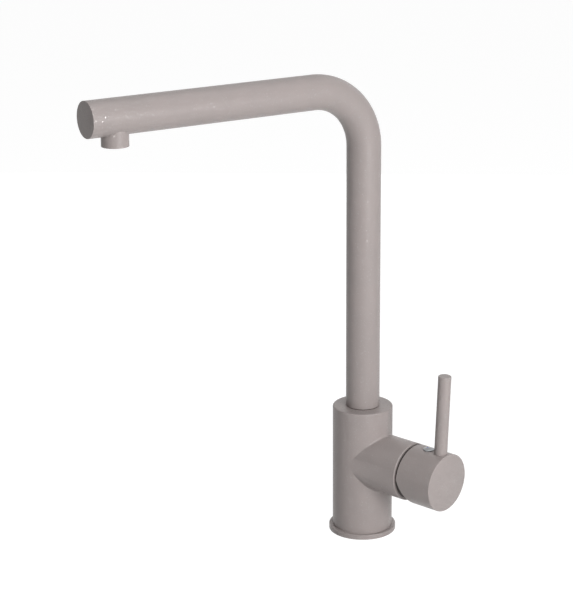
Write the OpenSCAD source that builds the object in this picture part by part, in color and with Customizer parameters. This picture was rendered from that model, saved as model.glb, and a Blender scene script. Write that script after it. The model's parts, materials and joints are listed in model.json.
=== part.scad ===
// Single-lever kitchen mixer tap with a tall swivel spout and a side branch for the lever handle.
// Millimetres. The origin is the centre of the base on the deck, +Z is up, +X is the branch's axis.

/* [Body] */
// Diameter of the upright body
body_d = 50; // [49:0.5:54]
// Height of the body's top face above the deck
body_top = 110; // [104:1:125]
// Rounding of the body's top edge
body_edge = 1.2; // [0.4:0.1:2]
// Diameter of the base ring
ring_d = 56; // [54.5:0.5:62]
// Height of the base ring
ring_h = 4; // [3.6:0.2:6]
// Diameter of the side branch
branch_d = 48; // [46:0.5:48.5]
// Height of the branch's axis above the deck
branch_z = 64.2; // [60:0.2:70]
// End face of the branch, from the body's axis
branch_end = 54; // [53:0.1:56]
// Rounding of the branch's front edge
branch_edge = 1; // [0.4:0.1:1.5]
// Radius of the fillet between body and branch
branch_fillet = 2.5; // [1.5:0.1:3.5]
// Radius of the hose space under the body
hose_space_r = 17; // [15:0.5:18.5]
// Roof of the hose space above the deck
hose_space_top = 38; // [32:1:42]

/* [Inlets and stud] */
// Tapped radius of a hose inlet, M10 x 1
inlet_r = 4.5; // [4:0.1:5]
// Length of an inlet's thread
inlet_len = 11; // [8:0.5:13]
// Distance from the middle plane to each inlet
inlet_y = 8.5; // [8:0.1:9]
// Distance of the inlets in front of the body's axis, along the branch
inlet_x = 5; // [4:0.1:6]
// Tapped radius of the fixing stud's hole, M8
stud_r = 3.4; // [3:0.1:3.8]
// Length of the stud's thread
stud_len = 14; // [10:1:20]
// Distance of the stud behind the body's axis
stud_x = 10; // [9:0.5:11]
// Radius of the boss that holds the stud
stud_boss_r = 6.5; // [6:0.1:7]

/* [Spout] */
// Outer diameter of the spout's tube
tube_d = 28; // [26:0.5:29]
// Wall of the tube
tube_wall = 1.5; // [1:0.1:2]
// Height of the arm's axis above the deck
arm_z = 378.5; // [300:0.5:420]
// Centre-line radius of the bend
bend_r = 48.5; // [40:0.5:60]
// Distance from the body's axis to the arm's end face
reach = 245; // [180:1:280]
// Resting angle of the spout, 0 is square to the branch
spout_turn = -15; // [-60:1:60]
// Thickness of the end disc
end_disc_t = 2.5; // [1.5:0.1:4]
// Distance from the arm's end face to the outlet's axis
outlet_setback = 23.5; // [20:0.5:40]
// Outer diameter of the outlet collar
outlet_d = 20.8; // [20.6:0.1:23]
// Depth of the collar's lower face under the arm's axis
outlet_drop = 22; // [21.5:0.5:28]
// Height of the tube's foot above the body's top
foot_rise = 0.4; // [0.3:0.1:1]
// Rounding of the tube's lower edge
foot_edge = 0.3; // [0.2:0.1:0.8]
// Step from the tube's surface in to the bush that it stands on
foot_step = 0.5; // [0.3:0.1:0.8]
// Radius of the spout's socket in the body
socket_r = 12; // [11.5:0.1:12.4]

/* [Handle] */
// Diameter of the handle
handle_d = 48; // [46:0.5:49]
// Gap between the branch and the handle at the axis
handle_gap = 2.1; // [1.8:0.1:2.6]
// Length of the handle along the branch
handle_len = 33.9; // [32:0.1:40]
// Slope of the relief cut at the handle's lower rear edge
relief_slope = 21.5; // [20:0.5:24]
// Height above the axis at which the relief begins
relief_start = 0.8; // [0.4:0.1:3]
// Diameter of the lever
lever_d = 10.7; // [9:0.1:12]
// Distance of the lever behind the handle's front face
lever_back = 8; // [7:0.1:9]
// Outward lean of the lever and of the handle's rear rim in degrees
lever_lean = 2.5; // [0:0.1:4]
// Outward lean of the handle's front face in degrees
face_lean = 1.3; // [0:0.1:3]
// Height of the lever's top above the branch's axis
lever_rise = 90.6; // [60:0.2:120]
// Diameter of the indicator plug
plug_d = 9.2; // [8:0.1:9.4]
// Distance of the plug behind the lever
plug_back = 11.2; // [11:0.1:11.8]

/* [Cartridge] */
// Outer radius of the cartridge
cartridge_r = 17.4; // [17:0.1:17.8]
// Rear face of the cartridge, from the body's axis
cartridge_x = 15; // [14.6:0.1:15.6]
// Distance of the three ports from the cartridge's axis
port_orbit = 9.8; // [9.4:0.1:10]
// Radius of each port
port_r = 3.5; // [3:0.1:3.7]
// Largest tilt of the handle in degrees
tilt_max = 20; // [12:1:20]

/* [Hidden] */
$fn = 96;
eps = 0.01;        // reach of a cutting shape past a face
fit = 0.05;        // radial clearance of a running or sliding fit
snug = 0.02;       // clearance of pieces that are pressed or brazed together
loose = 0.3;       // clearance of pieces that only pass each other

paint = [0.64, 0.61, 0.59];
brass = [0.78, 0.66, 0.38];
steel = [0.75, 0.76, 0.78];
dark_plastic = [0.26, 0.25, 0.24];
pale_plastic = [0.86, 0.86, 0.83];
rubber = [0.1, 0.1, 0.1];
ceramic = [0.93, 0.93, 0.9];

body_r = body_d / 2;
ring_r = ring_d / 2;
branch_r = branch_d / 2;
tube_r = tube_d / 2;
tube_bore = tube_r - tube_wall;
handle_r = handle_d / 2;
lever_r = lever_d / 2;
outlet_r = outlet_d / 2;
plug_r = plug_d / 2;

// Base: the body's spigot stands in the ring, and the seal lies in the ring's groove
spigot_r = 20;
spigot_foot = 1.5;
seal_groove_in = spigot_r + 1.6;
seal_groove_out = ring_r - 3;
seal_groove_h = 2.2;

// Spout seat, from the top of the body down
foot_z = body_top + foot_rise;
bush_flange_r = tube_r - foot_step;
bush_flange_h = 2.4;
bush_len = 5;
socket_top = foot_z - bush_flange_h;
nipple_r = socket_r - 1.5;
socket_len = 25;
socket_floor = socket_top - socket_len;
lower_bush_z = socket_floor;
lower_bush_len = 4;
o_ring_r = 1.3;
o_ring_groove_h = 3;
o_ring_z = [lower_bush_z + lower_bush_len + 2.6, lower_bush_z + lower_bush_len + 6.6];
snap_h = 1.8;
snap_z = lower_bush_z + lower_bush_len + 10;
snap_groove_r = socket_r + 0.8;
water_r = 7;
nipple_spigot = 12;

// Outlet: collar, aerator and seal, as depths under the arm's axis
aerator_r = outlet_r - 1.2;
aerator_face = outlet_drop - 0.6;
aerator_shoulder = outlet_drop - 7;
aerator_seal_h = 1.4;
aerator_water_r = 6.5;

// Cartridge stations along the branch
chamber_r = cartridge_r + loose;
thread_r = chamber_r + 1.3;
base_t = 4;
base_spigot_t = 1;
disc_x = cartridge_x + base_t + base_spigot_t;
disc_t = 3.2;
moving_x = disc_x + disc_t;
carrier_x = moving_x + disc_t;
carrier_t = 4.4;
turret_x = carrier_x + carrier_t + 0.5;
turret_len = 11;
turret_end = turret_x + turret_len;
pivot_depth = 7.5;
pivot_x = turret_x + pivot_depth;
housing_wall = 2.2;
housing_shoulder = turret_end + housing_wall;
housing_bore = cartridge_r - housing_wall;
neck_len = 6.3;
neck_r = 12.5;
nut_len = 6;
turret_r = housing_bore - fit;
tilt_slot_len = 18;
stem_w = 8;
ball_r = 3;
ball_back = 8;
ball_neck_r = 1.9;
pin_r = 1.5;
slide_max = ball_back * sin(tilt_max);
ports = [180, 60, 300];

// Dome and handle: both are round about the pivot, so that the handle passes over the dome
dome_foot_r = branch_r - 2;
handle_x = branch_end + handle_gap;
front_x = handle_x + handle_len;
dome_r = norm([branch_end - pivot_x, dome_foot_r]);
hollow_r = dome_r + loose;
dome_wall = 1.7;
stem_gap_r = 14;
stem_end = front_x - 14;
handle_edge = 0.6;
rear_spare = 2;
lever_x = front_x - lever_back;
plug_x = lever_x - plug_back;
lever_seat = handle_r - 2.4;
lever_spigot_r = 3;
lever_spigot_len = 11;
grub_r = 3;
grub_len = 7;
plug_depth = 3;

// Turns local Z to the branch's axis; local -X is then up
module on_branch(x = 0) {
    translate([x, 0, branch_z])
        rotate([0, 90, 0])
            children();
}

// Turns the spout to its resting angle; its arm runs along -Y before
module on_spout() {
    rotate([0, 0, spout_turn])
        children();
}

// Places a piece at the outlet, upright, with its zero on the arm's axis
module at_outlet() {
    on_spout()
        translate([0, -(reach - outlet_setback), arm_z])
            children();
}

module ring(outer, inner, h) {
    difference() {
        cylinder(r = outer, h = h);
        translate([0, 0, -eps])
            cylinder(r = inner, h = h + 2 * eps);
    }
}

// Round bar whose top edge is rounded
module rounded_bar(r, h, edge) {
    rotate_extrude()
        union() {
            square([r - edge, h]);
            square([r, h - edge]);
            translate([r - edge, h - edge])
                intersection() {
                    circle(r = edge);
                    square(edge);
                }
        }
}

// Rolling-ball fillet between the upright body and the branch, closed inside the metal.
// The ball runs a little deep, so that the fillet crosses both surfaces at a clear angle.
fillet_turns = 72;
fillet_steps = 6;
fillet_root = 0.8;
fillet_sink = 0.08;
function fillet_centre(a) =
    let (
        from_branch = branch_r + branch_fillet - fillet_sink,
        from_body = body_r + branch_fillet - fillet_sink,
        y = from_branch * cos(a)
    )
    [sqrt(pow(from_body, 2) - y * y), y, from_branch * sin(a)];
function fillet_root_point(a) =
    [sqrt(pow(body_r, 2) - pow(branch_r * cos(a), 2)) - fillet_root,
     (branch_r - fillet_root) * cos(a),
     (branch_r - fillet_root) * sin(a)];
function fillet_section(a) =
    let (
        c = fillet_centre(a),
        to_branch = [0, -cos(a), -sin(a)],
        to_body = [-c.x, -c.y, 0] / norm([c.x, c.y]),
        span = acos(to_branch * to_body)
    )
    concat(
        [for (i = [0:fillet_steps])
            let (t = span * i / fillet_steps)
            c + branch_fillet * (sin(span - t) * to_branch + sin(t) * to_body) / sin(span)],
        [fillet_root_point(a)]
    );

module branch_blend() {
    side = fillet_steps + 2;
    points = [for (k = [0:fillet_turns - 1]) each fillet_section(360 * (k + 0.5) / fillet_turns)];
    faces = [for (k = [0:fillet_turns - 1], i = [0:side - 1])
        let (
            a = k * side + i,
            b = k * side + (i + 1) % side,
            c = ((k + 1) % fillet_turns) * side + (i + 1) % side,
            d = ((k + 1) % fillet_turns) * side + i
        )
        each [[a, b, c], [a, c, d]]];
    translate([0, 0, branch_z])
        polyhedron(points, faces);
}

module body_shape() {
    translate([0, 0, ring_h])
        rounded_bar(body_r, body_top - ring_h, body_edge);
    translate([0, 0, spigot_foot])
        cylinder(r = spigot_r, h = ring_h - spigot_foot + eps);
    on_branch()
        rounded_bar(branch_r, branch_end, branch_edge);
    branch_blend();
}

// Space for the hoses, with the stud's boss left standing in it
module hose_space() {
    difference() {
        translate([0, 0, -eps])
            cylinder(r = hose_space_r, h = hose_space_top + eps);
        translate([-stud_x, 0, -1])
            cylinder(r = stud_boss_r, h = hose_space_top + 2);
    }
}

module inlet_way(side) {
    port_z = branch_z - port_orbit * cos(ports[1]);
    translate([inlet_x, side * inlet_y, hose_space_top - eps])
        cylinder(r = inlet_r, h = inlet_len + eps);
    translate([inlet_x, side * inlet_y, hose_space_top])
        cylinder(r = port_r, h = port_z - hose_space_top);
    translate([inlet_x, side * inlet_y, port_z])
        sphere(r = port_r);
    translate([inlet_x, side * inlet_y, port_z])
        rotate([0, 90, 0])
            cylinder(r = port_r, h = cartridge_x - inlet_x + eps);
}

module body() {
    color(paint)
        difference() {
            body_shape();
            // socket of the spout
            translate([0, 0, socket_top])
                cylinder(r = bush_flange_r + 0.1, h = body_top - socket_top + eps);
            translate([0, 0, socket_floor])
                cylinder(r = socket_r, h = socket_len + eps);
            translate([0, 0, snap_z - 0.2])
                cylinder(r = snap_groove_r, h = snap_h + 0.4);
            // mixing well under the socket and the way from the cartridge's outlet
            translate([0, 0, branch_z + port_orbit - port_r - 2])
                cylinder(r = water_r + 1, h = socket_floor - (branch_z + port_orbit - port_r - 2) + eps);
            translate([0, 0, branch_z + port_orbit])
                rotate([0, 90, 0])
                    cylinder(r = port_r, h = cartridge_x + eps);
            // cartridge's chamber and the nut's thread
            on_branch(cartridge_x)
                cylinder(r = chamber_r, h = branch_end);
            on_branch(housing_shoulder - 1.5)
                cylinder(r = thread_r, h = branch_end);
            on_branch(cartridge_x - peg_len - 0.4)
                pegs(peg_r + 0.1, peg_len + 1);
            // supplies and the fixing stud
            hose_space();
            inlet_way(1);
            inlet_way(-1);
            translate([-stud_x, 0, 0])
                cylinder(r = stud_r, h = spigot_foot + stud_len);
        }
}

module base_ring() {
    color(paint)
        difference() {
            rounded_bar(ring_r, ring_h, 0.5);
            translate([0, 0, -eps])
                cylinder(r = spigot_r + 0.1, h = ring_h + 2 * eps);
            translate([0, 0, -eps])
                ring(seal_groove_out, seal_groove_in, seal_groove_h + eps);
        }
}

module deck_seal() {
    color(rubber)
        translate([0, 0, 0.1])
            ring(seal_groove_out - 0.1, seal_groove_in + 0.1, seal_groove_h - 0.1);
}

module upper_swivel_bush() {
    color(dark_plastic) {
        difference() {
            union() {
                translate([0, 0, socket_top])
                    cylinder(r = bush_flange_r, h = bush_flange_h);
                translate([0, 0, socket_top - bush_len])
                    cylinder(r = socket_r - fit, h = bush_len + eps);
            }
            translate([0, 0, socket_top - bush_len - eps])
                cylinder(r = nipple_r + fit, h = bush_len + bush_flange_h + 2 * eps);
        }
    }
}

module lower_swivel_bush() {
    color(dark_plastic)
        translate([0, 0, lower_bush_z])
            ring(socket_r - fit, nipple_r + fit, lower_bush_len);
}

peg_r = 2;
peg_len = 3;
peg_orbit = 14;

// Two locating pegs of the cartridge, level with its axis
module pegs(r, h) {
    for (side = [-1, 1])
        translate([0, side * peg_orbit, 0])
            cylinder(r = r, h = h);
}

// The three ports: the outlet above, the two supplies below
module at_ports() {
    for (a = ports)
        rotate([0, 0, a])
            translate([port_orbit, 0, 0])
                children();
}

port_seal_r = port_r + 1.6;
port_seal_t = 1.6;

module cartridge_base() {
    color(dark_plastic)
        on_branch(cartridge_x)
            difference() {
                union() {
                    cylinder(r = cartridge_r, h = base_t);
                    cylinder(r = housing_bore - fit, h = base_t + base_spigot_t);
                    translate([0, 0, -peg_len])
                        pegs(peg_r, peg_len + eps);
                }
                at_ports()
                    translate([0, 0, -eps])
                        cylinder(r = port_r, h = base_t + base_spigot_t + 2 * eps);
                at_ports()
                    translate([0, 0, -eps])
                        cylinder(r = port_seal_r, h = port_seal_t + eps);
                at_ports()
                    translate([0, 0, base_t + base_spigot_t - port_seal_t])
                        cylinder(r = port_seal_r - 0.4, h = port_seal_t + eps);
            }
}

module port_seals() {
    color(rubber)
        on_branch(cartridge_x)
            at_ports()
                ring(port_seal_r - snug, port_r, port_seal_t);
}

module disc_seals() {
    color(rubber)
        on_branch(disc_x - port_seal_t)
            at_ports()
                ring(port_seal_r - 0.4 - snug, port_r, port_seal_t);
}

disc_r = 13.6;
moving_r = housing_bore - slide_max - 0.6;

// Curved port of a ceramic disc
module kidney(radius, width, spread, h) {
    rotate([0, 0, -spread / 2])
        rotate_extrude(angle = spread)
            translate([radius - width / 2, 0])
                square([width, h]);
}

module fixed_disc() {
    color(ceramic)
        on_branch(disc_x)
            difference() {
                cylinder(r = disc_r, h = disc_t);
                for (a = ports)
                    rotate([0, 0, a])
                        translate([0, 0, -eps])
                            kidney(8.4, 4.6, 46, disc_t + 2 * eps);
            }
}

module moving_disc() {
    color(ceramic)
        on_branch(moving_x)
            difference() {
                cylinder(r = moving_r, h = disc_t);
                // mixing pocket in the rubbing face
                translate([0, 0, -eps])
                    cylinder(r = 6.4, h = 2.2);
            }
}

guide_w = 18;
guide_t = 1.8;

module disc_carrier() {
    color(pale_plastic)
        on_branch(carrier_x)
            difference() {
                union() {
                    cylinder(r = moving_r, h = carrier_t);
                    translate([-6, -guide_w / 2, carrier_t - eps])
                        cube([12, guide_w, 0.5 + guide_t]);
                }
                translate([0, 0, 1])
                    cylinder(r = ball_r + 0.15, h = carrier_t + 0.5 + guide_t);
            }
}

module turret() {
    color(pale_plastic)
        on_branch(turret_x)
            difference() {
                cylinder(r = turret_r, h = turret_len);
                // slot in which the stem tilts
                translate([-tilt_slot_len / 2, -stem_w / 2 - 0.1, -eps])
                    cube([tilt_slot_len, stem_w + 0.2, turret_len + 2 * eps]);
                // groove that guides the disc's carrier
                translate([-turret_r, -guide_w / 2 - 0.1, -eps])
                    cube([2 * turret_r, guide_w + 0.2, guide_t + 0.1 + eps]);
                translate([0, 0, pivot_depth])
                    rotate([90, 0, 0])
                        cylinder(r = pin_r + snug, h = 2 * turret_r + 2, center = true);
            }
}

module stem_pin() {
    color(steel)
        translate([pivot_x, 0, branch_z])
            rotate([90, 0, 0])
                cylinder(r = pin_r, h = 2 * turret_r - 3, center = true);
}

module stem() {
    color(steel)
        difference() {
            union() {
                translate([pivot_x, -stem_w / 2, branch_z - stem_w / 2])
                    cube([stem_end - pivot_x, stem_w, stem_w]);
                translate([pivot_x, 0, branch_z])
                    rotate([90, 0, 0])
                        cylinder(r = stem_w / 2, h = stem_w, center = true);
                on_branch(pivot_x - ball_back)
                    cylinder(r = ball_neck_r, h = ball_back);
                translate([pivot_x - ball_back, 0, branch_z])
                    sphere(r = ball_r);
            }
            translate([pivot_x, 0, branch_z])
                rotate([90, 0, 0])
                    cylinder(r = pin_r + fit, h = stem_w + 2, center = true);
        }
}

module cartridge_housing() {
    color(dark_plastic)
        on_branch()
            difference() {
                union() {
                    translate([0, 0, cartridge_x + base_t])
                        cylinder(r = cartridge_r, h = housing_shoulder - cartridge_x - base_t);
                    translate([0, 0, housing_shoulder - eps])
                        cylinder(r = neck_r, h = neck_len + eps);
                }
                translate([0, 0, cartridge_x])
                    cylinder(r = housing_bore, h = turret_end + 0.2 - cartridge_x);
                translate([0, 0, cartridge_x])
                    cylinder(r = neck_r - 2, h = housing_shoulder + neck_len);
            }
}

module cartridge_nut() {
    slot_w = 4;
    color(brass)
        on_branch(housing_shoulder)
            difference() {
                ring(thread_r - fit, neck_r + loose, nut_len);
                for (a = [0, 90])
                    rotate([0, 0, a + 45])
                        translate([-thread_r - 1, -slot_w / 2, nut_len - 2])
                            cube([2 * thread_r + 2, slot_w, 3]);
            }
}

// Dark dome that fills the gap behind the handle
module dome_ring() {
    skirt = 2.6;
    color(dark_plastic)
        on_branch()
            difference() {
                union() {
                    translate([0, 0, branch_end - skirt])
                        cylinder(r = thread_r - fit, h = skirt + eps);
                    intersection() {
                        translate([0, 0, pivot_x])
                            sphere(r = dome_r);
                        translate([0, 0, branch_end])
                            cylinder(r = dome_r, h = dome_r);
                    }
                }
                intersection() {
                    translate([0, 0, pivot_x])
                        sphere(r = dome_r - dome_wall);
                    translate([0, 0, branch_end + dome_wall])
                        cylinder(r = dome_r, h = dome_r);
                }
                translate([0, 0, branch_end - skirt - eps])
                    cylinder(r = thread_r - dome_wall, h = skirt + dome_wall + 2 * eps);
                translate([0, 0, branch_end - skirt - eps])
                    cylinder(r = stem_gap_r, h = dome_r + skirt);
            }
}

// Points the lever's own axis out of the handle
module on_lever() {
    translate([lever_x, 0, branch_z])
        rotate([0, lever_lean, 0])
            children();
}

module handle() {
    color(paint)
        difference() {
            // level cylinder whose front face leans
            translate([0, 0, branch_z])
                multmatrix([[1, 0, tan(face_lean), 0], [0, 1, 0, 0], [0, 0, 1, 0], [0, 0, 0, 1]])
                    translate([handle_x - rear_spare, 0, 0])
                        rotate([0, 90, 0])
                            rounded_bar(handle_r, handle_len + rear_spare, handle_edge);
            // rear rim, leaning with the lever
            translate([handle_x, 0, branch_z])
                rotate([0, lever_lean, 0])
                    translate([-handle_d, -handle_d, -handle_d])
                        cube([handle_d, 2 * handle_d, 2 * handle_d]);
            // hollow that passes over the dome
            translate([pivot_x, 0, branch_z])
                sphere(r = hollow_r);
            // relief of the lower rear edge
            translate([handle_x, 0, branch_z + relief_start])
                rotate([0, -relief_slope, 0])
                    translate([-handle_d, -handle_d, -2 * handle_d])
                        cube([handle_d, 2 * handle_d, 2 * handle_d]);
            // socket of the stem
            translate([pivot_x, -stem_w / 2 - snug, branch_z - stem_w / 2 - snug])
                cube([stem_end + 0.3 - pivot_x, stem_w + 2 * snug, stem_w + 2 * snug]);
            // grub screw's hole and the plug's seat above it
            translate([plug_x, 0, branch_z])
                cylinder(r = grub_r + snug, h = handle_r);
            translate([plug_x, 0, branch_z + handle_r - plug_depth])
                cylinder(r = plug_r + snug, h = plug_depth + 1);
            // seat and thread of the lever
            on_lever() {
                translate([0, 0, lever_seat])
                    cylinder(r = lever_r + snug, h = handle_r);
                translate([0, 0, lever_seat - lever_spigot_len - 0.5])
                    cylinder(r = lever_spigot_r + snug, h = lever_spigot_len + 1);
            }
        }
}

module lever() {
    color(paint)
        on_lever() {
            translate([0, 0, lever_seat])
                rounded_bar(lever_r, lever_rise / cos(lever_lean) - lever_seat, 0.6);
            translate([0, 0, lever_seat - lever_spigot_len])
                cylinder(r = lever_spigot_r, h = lever_spigot_len + eps);
        }
}

module handle_grub_screw() {
    socket_w = 3;
    color(steel)
        translate([plug_x, 0, branch_z + stem_w / 2])
            difference() {
                cylinder(r = grub_r, h = grub_len);
                translate([0, 0, grub_len - 3])
                    cylinder(d = socket_w / cos(30), h = 4, $fn = 6);
            }
}

plug_edge = 0.6;
plug_crown = 1.6;
dot_r = 0.8;
dot_back = 1.2;
dot_sink = 0.5;

// Crowned plug over the grub screw; the crown is a cap of a large sphere
module indicator_plug() {
    crown_rise = plug_crown - plug_edge;
    crown_r = (plug_r * plug_r + crown_rise * crown_rise) / (2 * crown_rise);
    color(steel)
        translate([plug_x, 0, branch_z + handle_r])
            difference() {
                intersection() {
                    translate([0, 0, -plug_depth])
                        cylinder(r = plug_r, h = plug_depth + plug_crown);
                    translate([0, 0, plug_crown - crown_r])
                        sphere(r = crown_r);
                }
                translate([-dot_back, 0, plug_crown - dot_sink])
                    cylinder(r = dot_r + snug, h = dot_sink + 1);
            }
}

module indicator_dot() {
    color([0.2, 0.25, 0.6])
        translate([plug_x - dot_back, 0, branch_z + handle_r + plug_crown - dot_sink])
            cylinder(r = dot_r, h = dot_sink - 0.05);
}

// Pipe along the spout's path: upright, bend and arm
module spout_path(r_out, r_in, foot, tip) {
    upright = arm_z - bend_r - foot;
    difference() {
        translate([0, 0, foot + upright])
            rotate([180, 0, 0])
                rounded_bar(r_out, upright, foot_edge);
        translate([0, 0, foot - eps])
            cylinder(r = r_in, h = upright + 2 * eps);
    }
    translate([0, -bend_r, arm_z - bend_r])
        rotate([90, 0, 90])
            rotate_extrude(angle = 90)
                translate([bend_r, 0])
                    difference() {
                        circle(r = r_out);
                        circle(r = r_in);
                    }
    translate([0, -bend_r, arm_z])
        rotate([90, 0, 0])
            ring(r_out, r_in, tip - bend_r);
}

module spout_tube() {
    color(paint)
        on_spout()
            difference() {
                spout_path(tube_r, tube_bore, foot_z, reach - end_disc_t);
                translate([0, -(reach - outlet_setback), arm_z - tube_d])
                    cylinder(r = aerator_water_r, h = tube_d);
            }
}

module spout_end_disc() {
    disc_spigot = 3;
    color(paint)
        on_spout()
            translate([0, -(reach - end_disc_t), arm_z])
                rotate([90, 0, 0]) {
                    rounded_bar(tube_r, end_disc_t, 0.3);
                    translate([0, 0, -disc_spigot])
                        cylinder(r = tube_bore - snug, h = disc_spigot + eps);
                }
}

module spout_nipple() {
    color(brass)
        difference() {
            union() {
                translate([0, 0, foot_z])
                    cylinder(r = tube_bore - snug, h = nipple_spigot);
                translate([0, 0, socket_floor + 0.3])
                    cylinder(r = nipple_r, h = foot_z - socket_floor - 0.3 + eps);
            }
            translate([0, 0, socket_floor - eps])
                cylinder(r = water_r, h = foot_z + nipple_spigot);
            for (z = o_ring_z)
                translate([0, 0, z - o_ring_groove_h / 2])
                    ring(nipple_r + 1, socket_r - 2 * o_ring_r - fit - snug, o_ring_groove_h);
            translate([0, 0, snap_z - 0.1])
                ring(nipple_r + 1, nipple_r - 1.2, snap_h + 0.2);
        }
}

module spout_o_rings() {
    color(rubber)
        for (z = o_ring_z)
            translate([0, 0, z])
                rotate_extrude()
                    translate([socket_r - fit - o_ring_r, 0])
                        circle(r = o_ring_r, $fn = 48);
}

module spout_snap_ring() {
    split = 24;
    color(steel)
        translate([0, 0, snap_z])
            rotate([0, 0, 90 + split / 2])
                rotate_extrude(angle = 360 - split)
                    translate([nipple_r - 1.2 + snug, 0])
                        square([snap_groove_r - loose - nipple_r + 1.2 - snug, snap_h]);
}

module outlet_collar() {
    color(paint)
        difference() {
            at_outlet()
                translate([0, 0, -outlet_drop])
                    difference() {
                        cylinder(r = outlet_r, h = outlet_drop);
                        translate([0, 0, -eps])
                            cylinder(r = aerator_r, h = outlet_drop - aerator_shoulder + eps);
                        translate([0, 0, -eps])
                            cylinder(r = aerator_water_r, h = outlet_drop + 1);
                    }
            on_spout()
                translate([0, -bend_r, arm_z])
                    rotate([90, 0, 0])
                        cylinder(r = tube_r + snug, h = reach);
        }
}

aerator_h = aerator_face - aerator_shoulder - aerator_seal_h;
core_t = 3;

module aerator_housing() {
    notches = 8;
    color(pale_plastic)
        at_outlet()
            translate([0, 0, -aerator_face])
                difference() {
                    cylinder(r = aerator_r - fit, h = aerator_h);
                    translate([0, 0, core_t])
                        cylinder(r = aerator_water_r, h = aerator_h);
                    translate([0, 0, -eps])
                        cylinder(r = aerator_water_r + 0.7, h = core_t + 2 * eps);
                    // notches of the key that screws it in
                    for (i = [0:notches - 1])
                        rotate([0, 0, 360 * i / notches])
                            translate([aerator_r - 1.2, -0.6, -eps])
                                cube([3, 1.2, 1.2]);
                }
}

// Honeycomb that straightens the stream
module aerator_core() {
    cell = 1.9;
    web = 0.5;
    rings = 3;
    color(pale_plastic)
        at_outlet()
            translate([0, 0, -aerator_face])
                difference() {
                    cylinder(r = aerator_water_r + 0.7 - fit, h = core_t);
                    for (q = [-rings:rings], s = [-rings:rings])
                        if (abs(q + s) <= rings)
                            translate([cell * (q + s / 2), cell * s * sin(60), -eps])
                                cylinder(d = (cell - web) / cos(30), h = core_t + 2 * eps, $fn = 6);
                }
}

module aerator_seal() {
    color(rubber)
        at_outlet()
            translate([0, 0, -aerator_shoulder - aerator_seal_h])
                ring(aerator_r - fit, aerator_water_r + 0.2, aerator_seal_h);
}

body();
base_ring();
deck_seal();
upper_swivel_bush();
lower_swivel_bush();
cartridge_base();
port_seals();
disc_seals();
fixed_disc();
cartridge_housing();
cartridge_nut();
dome_ring();
turret();
stem_pin();
disc_carrier();
moving_disc();
stem();
handle();
lever();
handle_grub_screw();
indicator_plug();
indicator_dot();
spout_tube();
spout_end_disc();
spout_nipple();
spout_o_rings();
spout_snap_ring();
outlet_collar();
aerator_housing();
aerator_core();
aerator_seal();
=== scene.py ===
import json
import math

import bpy
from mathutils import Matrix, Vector

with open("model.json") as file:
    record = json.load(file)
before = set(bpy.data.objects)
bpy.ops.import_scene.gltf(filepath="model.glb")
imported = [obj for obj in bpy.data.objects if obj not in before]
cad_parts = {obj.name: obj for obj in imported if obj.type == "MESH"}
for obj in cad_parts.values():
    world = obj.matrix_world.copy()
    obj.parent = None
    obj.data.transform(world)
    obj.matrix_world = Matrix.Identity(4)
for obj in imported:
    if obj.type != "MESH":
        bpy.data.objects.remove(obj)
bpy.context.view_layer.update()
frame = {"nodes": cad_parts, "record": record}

NODES = frame["nodes"]

# the body's upright barrel, and the angles in degrees below which an edge is smoothed; the
# branch's fillet crosses the barrel at about 14.5 degrees, which is above the body's own limit
BARREL_RADIUS = 0.025
SMOOTH_BELOW = 25
SMOOTH_BELOW_ON_BODY = 12


# Node helpers, for materials and modifier groups

def new_material(name):
    """An empty node material with its output, and the two collections to work with."""
    material = bpy.data.materials.new(name)
    material.use_nodes = True
    material.node_tree.nodes.clear()
    output = material.node_tree.nodes.new("ShaderNodeOutputMaterial")
    return material, material.node_tree.nodes, material.node_tree.links, output


def object_coordinates(nodes):
    return nodes.new("ShaderNodeTexCoord").outputs["Object"]


def noise(nodes, links, where, scale, detail=3.0, roughness=0.5):
    """Noise of this many features a metre."""
    node = nodes.new("ShaderNodeTexNoise")
    node.inputs["Scale"].default_value = scale
    node.inputs["Detail"].default_value = detail
    node.inputs["Roughness"].default_value = roughness
    links.new(where, node.inputs["Vector"])
    return node.outputs["Fac"]


def spread(nodes, links, value, low, high, from_low=0.0, from_high=1.0):
    """Maps a value from one range to another, held at the ends."""
    node = nodes.new("ShaderNodeMapRange")
    node.inputs["From Min"].default_value = from_low
    node.inputs["From Max"].default_value = from_high
    node.inputs["To Min"].default_value = low
    node.inputs["To Max"].default_value = high
    links.new(value, node.inputs["Value"])
    return node.outputs["Result"]


def feed(links, socket, value):
    """Links another node's output to the socket, or sets a plain value on it."""
    if isinstance(value, bpy.types.NodeSocket):
        links.new(value, socket)
    else:
        socket.default_value = value


def first_output(node):
    """The output that the node's present mode uses."""
    return next(socket for socket in node.outputs if socket.enabled)


def calculate(nodes, links, kind, operation, *values):
    """A Math or VectorMath node; each value is a number, a vector or another node's output."""
    node = nodes.new("ShaderNode" + kind)
    node.operation = operation
    for socket, value in zip(node.inputs, values):
        feed(links, socket, value)
    return first_output(node)


def blend(nodes, links, share, first, second, kind="RGBA"):
    """A value between two colours or, of the kind VECTOR, between two vectors."""
    node = nodes.new("ShaderNodeMix")
    node.data_type = kind
    in_use = [socket for socket in node.inputs if socket.enabled]
    for socket, value in zip(in_use, (share, first, second)):
        feed(links, socket, value)
    return first_output(node)


def bump(nodes, links, height, strength, distance):
    node = nodes.new("ShaderNodeBump")
    node.inputs["Strength"].default_value = strength
    node.inputs["Distance"].default_value = distance
    links.new(height, node.inputs["Height"])
    return node.outputs["Normal"]


def from_screen(red, green, blue):
    """A colour read on an 8-bit screen, as the linear values and the alpha that a shader takes."""
    def linear(value):
        share = value / 255
        if share <= 0.04045:
            return share / 12.92
        return ((share + 0.055) / 1.055) ** 2.4
    return (linear(red), linear(green), linear(blue), 1.0)


# Materials

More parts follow.
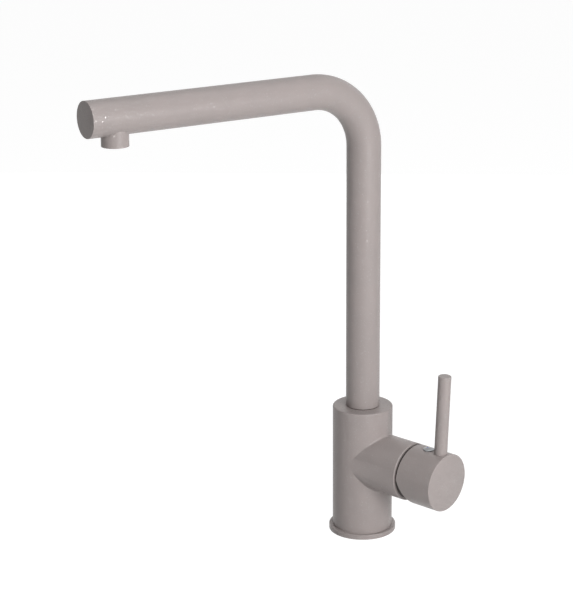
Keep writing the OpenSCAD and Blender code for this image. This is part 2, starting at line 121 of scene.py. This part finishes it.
def paint_material():
    """Satin taupe-grey coat: fine grain, a slight unevenness and small glinting flecks."""
    material, nodes, links, output = new_material("paint")
    where = object_coordinates(nodes)
    shader = nodes.new("ShaderNodeBsdfPrincipled")
    cloudy = noise(nodes, links, where, 60.0, 2.0)
    base = blend(nodes, links, spread(nodes, links, cloudy, 0.0, 1.0, 0.3, 0.7),
                 from_screen(147, 139, 137), from_screen(151, 142, 140))
    # flecks: of many cells, each with a random colour, those with the most red are paler, glossy
    # and partly metallic, and each lies at its own tilt
    least_red = 0.93
    middle_of_flecks = (0.95, 0.5, 0.5)
    cells = nodes.new("ShaderNodeTexVoronoi")
    cells.inputs["Scale"].default_value = 1400.0
    links.new(where, cells.inputs["Vector"])
    split = nodes.new("ShaderNodeSeparateColor")
    links.new(cells.outputs["Color"], split.inputs["Color"])
    fleck = spread(nodes, links, split.outputs["Red"], 0.0, 1.0, least_red, least_red + 0.01)
    colour = blend(nodes, links, spread(nodes, links, fleck, 0.0, 0.3),
                   base, from_screen(205, 202, 199))
    links.new(colour, shader.inputs["Base Color"])
    links.new(spread(nodes, links, fleck, 0.4, 0.16), shader.inputs["Roughness"])
    links.new(spread(nodes, links, fleck, 0.0, 0.15), shader.inputs["Metallic"])
    shader.inputs["Specular IOR Level"].default_value = 0.3
    grain = noise(nodes, links, where, 900.0, 3.0, 0.6)
    lean = calculate(nodes, links, "VectorMath", "SUBTRACT", cells.outputs["Color"], middle_of_flecks)
    tilted = calculate(nodes, links, "VectorMath", "MULTIPLY_ADD", lean,
                       spread(nodes, links, fleck, 0.0, 0.3), bump(nodes, links, grain, 0.3, 0.0001))
    links.new(calculate(nodes, links, "VectorMath", "NORMALIZE", tilted), shader.inputs["Normal"])
    links.new(shader.outputs[0], output.inputs["Surface"])
    return material


def moulded_material(name, dark, light, roughness):
    """Moulded plastic or rubber: two close tones, a fine grain and an uneven gloss."""
    material, nodes, links, output = new_material(name)
    where = object_coordinates(nodes)
    shader = nodes.new("ShaderNodeBsdfPrincipled")
    cloudy = noise(nodes, links, where, 120.0)
    links.new(blend(nodes, links, cloudy, dark, light), shader.inputs["Base Color"])
    grain = noise(nodes, links, where, 700.0, 4.0, 0.6)
    links.new(spread(nodes, links, grain, roughness - 0.08, roughness + 0.08),
              shader.inputs["Roughness"])
    links.new(bump(nodes, links, grain, 0.2, 0.0001), shader.inputs["Normal"])
    links.new(shader.outputs[0], output.inputs["Surface"])
    return material


def metal_material(name, dark, light, roughness, lines=(1, 1, 1)):
    """Bare metal with fine marks; lines squeezes them along an axis, as turning does."""
    material, nodes, links, output = new_material(name)
    shader = nodes.new("ShaderNodeBsdfPrincipled")
    shader.inputs["Metallic"].default_value = 1.0
    mapping = nodes.new("ShaderNodeMapping")
    mapping.inputs["Scale"].default_value = lines
    links.new(object_coordinates(nodes), mapping.inputs["Vector"])
    marks = noise(nodes, links, mapping.outputs["Vector"], 500.0, 4.0, 0.6)
    links.new(blend(nodes, links, marks, dark, light), shader.inputs["Base Color"])
    links.new(spread(nodes, links, marks, roughness - 0.05, roughness + 0.05),
              shader.inputs["Roughness"])
    links.new(bump(nodes, links, marks, 0.15, 0.00005), shader.inputs["Normal"])
    links.new(shader.outputs[0], output.inputs["Surface"])
    return material


PAINT = paint_material()
DARK_PLASTIC = moulded_material("dark_plastic", from_screen(42, 32, 30), from_screen(52, 42, 40), 0.6)
PALE_PLASTIC = moulded_material("pale_plastic", from_screen(205, 204, 199), from_screen(221, 220, 215), 0.5)
RUBBER = moulded_material("rubber", from_screen(26, 26, 26), from_screen(38, 38, 38), 0.8)
CERAMIC = moulded_material("ceramic", from_screen(228, 226, 220), from_screen(238, 236, 231), 0.3)
BLUE_ENAMEL = moulded_material("blue_enamel", from_screen(44, 52, 140), from_screen(56, 66, 160), 0.25)
BRASS = metal_material("brass", from_screen(188, 156, 96), from_screen(214, 184, 124), 0.32, (1, 1, 6))
STEEL = metal_material("steel", from_screen(168, 170, 172), from_screen(196, 198, 200), 0.34, (1, 1, 6))
CHROME = metal_material("chrome", from_screen(132, 134, 136), from_screen(152, 153, 155), 0.16)

MATERIAL_OF_SLOT = {
    "paint": PAINT,
    "dark_plastic": DARK_PLASTIC,
    "pale_plastic": PALE_PLASTIC,
    "rubber": RUBBER,
    "ceramic": CERAMIC,
    "blue_enamel": BLUE_ENAMEL,
    "brass": BRASS,
    "steel": STEEL,
    "chrome": CHROME,
}


# Shading of the CAD nodes

def modifier_group(name):
    """An empty modifier group, with its nodes and links, the mesh that comes in and the way out."""
    tree = bpy.data.node_groups.new(name, "GeometryNodeTree")
    tree.interface.new_socket("Mesh", in_out="INPUT", socket_type="NodeSocketGeometry")
    tree.interface.new_socket("Mesh", in_out="OUTPUT", socket_type="NodeSocketGeometry")
    mesh = tree.nodes.new("NodeGroupInput").outputs["Mesh"]
    end = tree.nodes.new("NodeGroupOutput").inputs["Mesh"]
    return tree, tree.nodes, tree.links, mesh, end


def smooth_group(limit_degrees):
    """A modifier group that welds a CAD mesh and smooths every edge flatter than the limit."""
    tree, nodes, links, mesh, end = modifier_group("smooth_faces")
    weld = nodes.new("GeometryNodeMergeByDistance")
    weld.inputs["Distance"].default_value = 1e-7
    faces = nodes.new("GeometryNodeSetShadeSmooth")
    faces.domain = "FACE"
    faces.inputs["Shade Smooth"].default_value = True
    edges = nodes.new("GeometryNodeSetShadeSmooth")
    edges.domain = "EDGE"
    angle = nodes.new("GeometryNodeInputMeshEdgeAngle").outputs["Unsigned Angle"]
    flat = calculate(nodes, links, "Math", "LESS_THAN", angle, math.radians(limit_degrees))
    links.new(mesh, weld.inputs["Geometry"])
    links.new(weld.outputs[0], faces.inputs["Geometry"])
    links.new(faces.outputs[0], edges.inputs["Geometry"])
    links.new(flat, edges.inputs["Shade Smooth"])
    links.new(edges.outputs[0], end)
    return tree


def barrel_group():
    """A modifier group for the body: where another face meets the upright barrel at a small angle,
    it takes the barrel's own normal there, so that the branch runs out on it softly."""
    # the angle in degrees between the two normals up to which the barrel's is taken wholly, the
    # one past which it isn't taken, and how far in metres a point may be off the barrel's radius
    whole_below = 16
    none_above = 31
    closeness = 0.00002
    tree, nodes, links, mesh, end = modifier_group("barrel_normals")
    place = nodes.new("GeometryNodeInputPosition").outputs["Position"]
    normal = nodes.new("GeometryNodeInputNormal").outputs["Normal"]
    level = calculate(nodes, links, "VectorMath", "MULTIPLY", place, (1, 1, 0))
    outwards = calculate(nodes, links, "VectorMath", "NORMALIZE", level)
    from_axis = calculate(nodes, links, "VectorMath", "LENGTH", level)
    on_barrel = calculate(nodes, links, "Math", "COMPARE", from_axis, BARREL_RADIUS, closeness)
    agreement = calculate(nodes, links, "VectorMath", "DOT_PRODUCT", normal, outwards)
    alike = spread(nodes, links, agreement, 0.0, 1.0,
                   math.cos(math.radians(none_above)), math.cos(math.radians(whole_below)))
    share = calculate(nodes, links, "Math", "MULTIPLY", on_barrel, alike)
    set_normal = nodes.new("GeometryNodeSetMeshNormal")
    set_normal.mode = "FREE"
    set_normal.domain = "CORNER"
    links.new(mesh, set_normal.inputs["Mesh"])
    links.new(blend(nodes, links, share, normal, outwards, "VECTOR"), set_normal.inputs["Custom Normal"])
    links.new(set_normal.outputs["Mesh"], end)
    return tree


def add_group(obj, group):
    obj.modifiers.new(group.name, "NODES").node_group = group


def dress_cad_nodes():
    """Gives each node its material and smooth shading."""
    smooth = smooth_group(SMOOTH_BELOW)
    smooth_body = smooth_group(SMOOTH_BELOW_ON_BODY)
    slots = {part["node"]: part["material_slot"] for part in frame["record"]["subparts"]}
    for name, obj in NODES.items():
        obj.data.materials.clear()
        obj.data.materials.append(MATERIAL_OF_SLOT[slots[name]])
        add_group(obj, smooth_body if name == "body" else smooth)
    add_group(NODES["body"], barrel_group())


dress_cad_nodes()


# Studio: floor, world, lamps and camera

def sees_background(nodes, links):
    """1 for a ray from the camera, a reflection or a clear piece, otherwise 0."""
    path = nodes.new("ShaderNodeLightPath")
    either = calculate(nodes, links, "Math", "MAXIMUM",
                       path.outputs["Is Camera Ray"], path.outputs["Is Glossy Ray"])
    return calculate(nodes, links, "Math", "MAXIMUM", either, path.outputs["Is Transmission Ray"])


def pale_floor():
    """A floor that looks plain white, and is too bright to show the object's shadow. Other light
    sees it pale grey."""
    half = 6.0
    glow = 1.2
    share_of_glow = 0.8
    mesh = bpy.data.meshes.new("floor")
    mesh.from_pydata([(-half, -half, 0), (half, -half, 0), (half, half, 0), (-half, half, 0)], [],
                     [(0, 1, 2, 3)])
    floor = bpy.data.objects.new("floor", mesh)
    bpy.context.scene.collection.objects.link(floor)
    material, nodes, links, output = new_material("floor")
    matt = nodes.new("ShaderNodeBsdfDiffuse")
    matt.inputs["Color"].default_value = (0.8, 0.8, 0.8, 1)
    white = nodes.new("ShaderNodeEmission")
    white.inputs["Strength"].default_value = glow
    seen = nodes.new("ShaderNodeMixShader")
    seen.inputs["Fac"].default_value = share_of_glow
    links.new(matt.outputs[0], seen.inputs[1])
    links.new(white.outputs[0], seen.inputs[2])
    choice = nodes.new("ShaderNodeMixShader")
    links.new(sees_background(nodes, links), choice.inputs[0])
    links.new(matt.outputs[0], choice.inputs[1])
    links.new(seen.outputs[0], choice.inputs[2])
    links.new(choice.outputs[0], output.inputs["Surface"])
    mesh.materials.append(material)


def plain_world(strength):
    """White to the camera and in reflections, and a softer light for everything else."""
    world = bpy.data.worlds.new("world")
    world.use_nodes = True
    nodes = world.node_tree.nodes
    links = world.node_tree.links
    nodes.clear()
    output = nodes.new("ShaderNodeOutputWorld")
    seen = nodes.new("ShaderNodeBackground")
    soft = nodes.new("ShaderNodeBackground")
    for background, level in ((seen, 1.0), (soft, strength)):
        background.inputs["Color"].default_value = (1, 1, 1, 1)
        background.inputs["Strength"].default_value = level
    choice = nodes.new("ShaderNodeMixShader")
    links.new(sees_background(nodes, links), choice.inputs[0])
    links.new(soft.outputs[0], choice.inputs[1])
    links.new(seen.outputs[0], choice.inputs[2])
    links.new(choice.outputs[0], output.inputs["Surface"])
    bpy.context.scene.world = world


def studio_lamp(name, azimuth, elevation, side, power, shine=True):
    """A square soft box that faces the tap; angles in degrees, azimuth from +X, power in watts.
    Without shine it lights the colours and leaves no highlight."""
    target = Vector((0, -0.04, 0.18))
    distance = 1.3
    turn = math.radians(azimuth)
    rise = math.radians(elevation)
    outwards = Vector((math.cos(turn) * math.cos(rise), math.sin(turn) * math.cos(rise), math.sin(rise)))
    data = bpy.data.lights.new(name, "AREA")
    data.shape = "SQUARE"
    data.size = side
    data.energy = power
    lamp = bpy.data.objects.new(name, data)
    lamp.location = target + distance * outwards
    lamp.rotation_euler = (-outwards).to_track_quat("-Z", "Y").to_euler()
    lamp.visible_glossy = shine
    bpy.context.scene.collection.objects.link(lamp)


def studio_camera():
    """A camera close to the one fitted to the photograph's outlines. Its shift is kept small, so
    that other views show the whole tap."""
    data = bpy.data.cameras.new("camera")
    data.sensor_width = 36.0
    data.lens = 110.43
    data.shift_x = -0.08
    data.shift_y = -0.06
    data.clip_end = 50.0
    camera = bpy.data.objects.new("camera", data)
    camera.location = (0.9368, -1.1004, 0.6419)
    aim = Vector((-0.63544, 0.72225, -0.27308))
    camera.rotation_euler = aim.to_track_quat("-Z", "Y").to_euler()
    bpy.context.scene.collection.objects.link(camera)
    bpy.context.scene.camera = camera


pale_floor()
plain_world(0.08)
studio_lamp("key", -12, 8, 0.4, 9.5)
studio_lamp("front", -30, 30, 1.0, 9.2)
studio_lamp("top", 0, 85, 1.0, 5.3)
studio_lamp("fill", 90, 45, 1.0, 0.7)
studio_lamp("back", 130, 10, 1.0, 9.0, shine=False)
studio_camera()
bpy.context.scene.view_settings.view_transform = "Standard"
